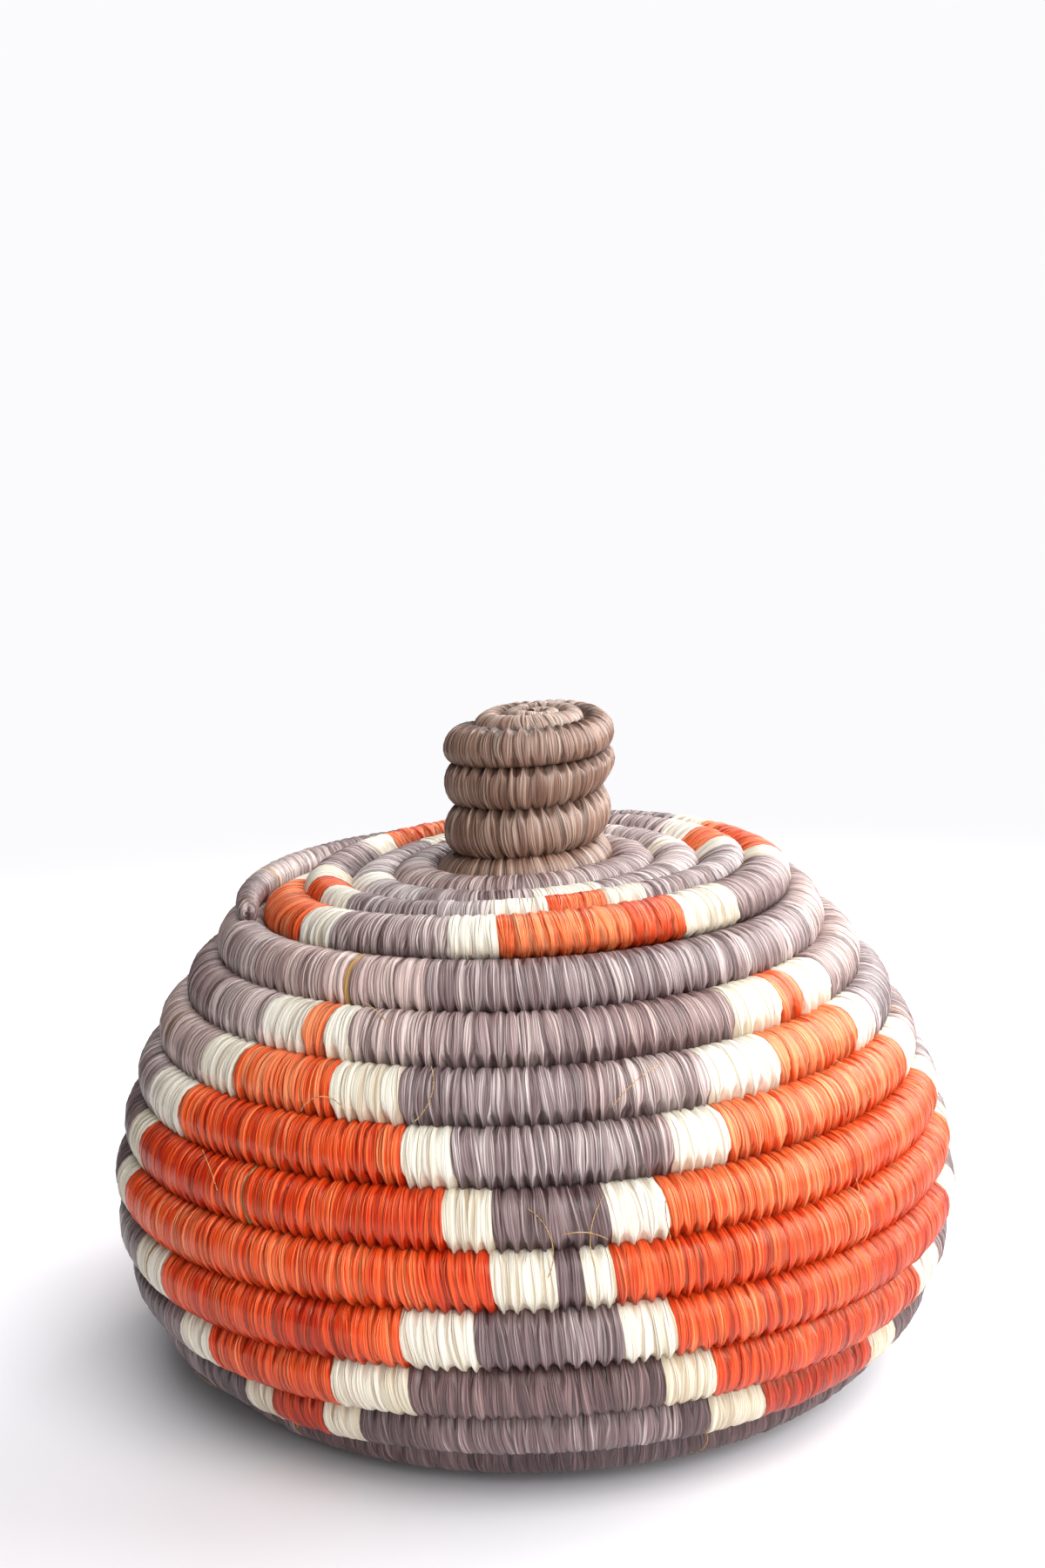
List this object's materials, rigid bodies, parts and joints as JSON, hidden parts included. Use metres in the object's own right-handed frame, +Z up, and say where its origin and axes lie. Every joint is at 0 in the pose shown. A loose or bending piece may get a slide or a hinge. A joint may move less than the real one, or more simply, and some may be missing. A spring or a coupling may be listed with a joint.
{
  "type": "lidded basket",
  "caption": "Round coiled raffia basket with a bulbous body, a flat base and a lift-off lid with a wound knob.",
  "frame": {"origin": "middle of the flat base, on the surface that the basket stands on", "axes": "+Z up through the middle of the knob, -Y towards the front"},
  "size_m": [0.1793, 0.1795, 0.1388],
  "materials": {
    "raffia_orange": "dyed raffia, wrapped",
    "raffia_grey": "dyed raffia, wrapped",
    "raffia_cream": "bleached raffia, wrapped"
  },
  "bodies": {
    "basket": {"basket_coil": "raffia_orange"},
    "lid": {"lid_coil": "raffia_grey", "lid_locating_ring": "raffia_cream"}
  },
  "joints": [
    {"name": "lid_lift", "type": "slide", "parent": "basket", "child": "lid", "axis": [0, 0, 1], "range_m": [0, 0.05]}
  ]
}
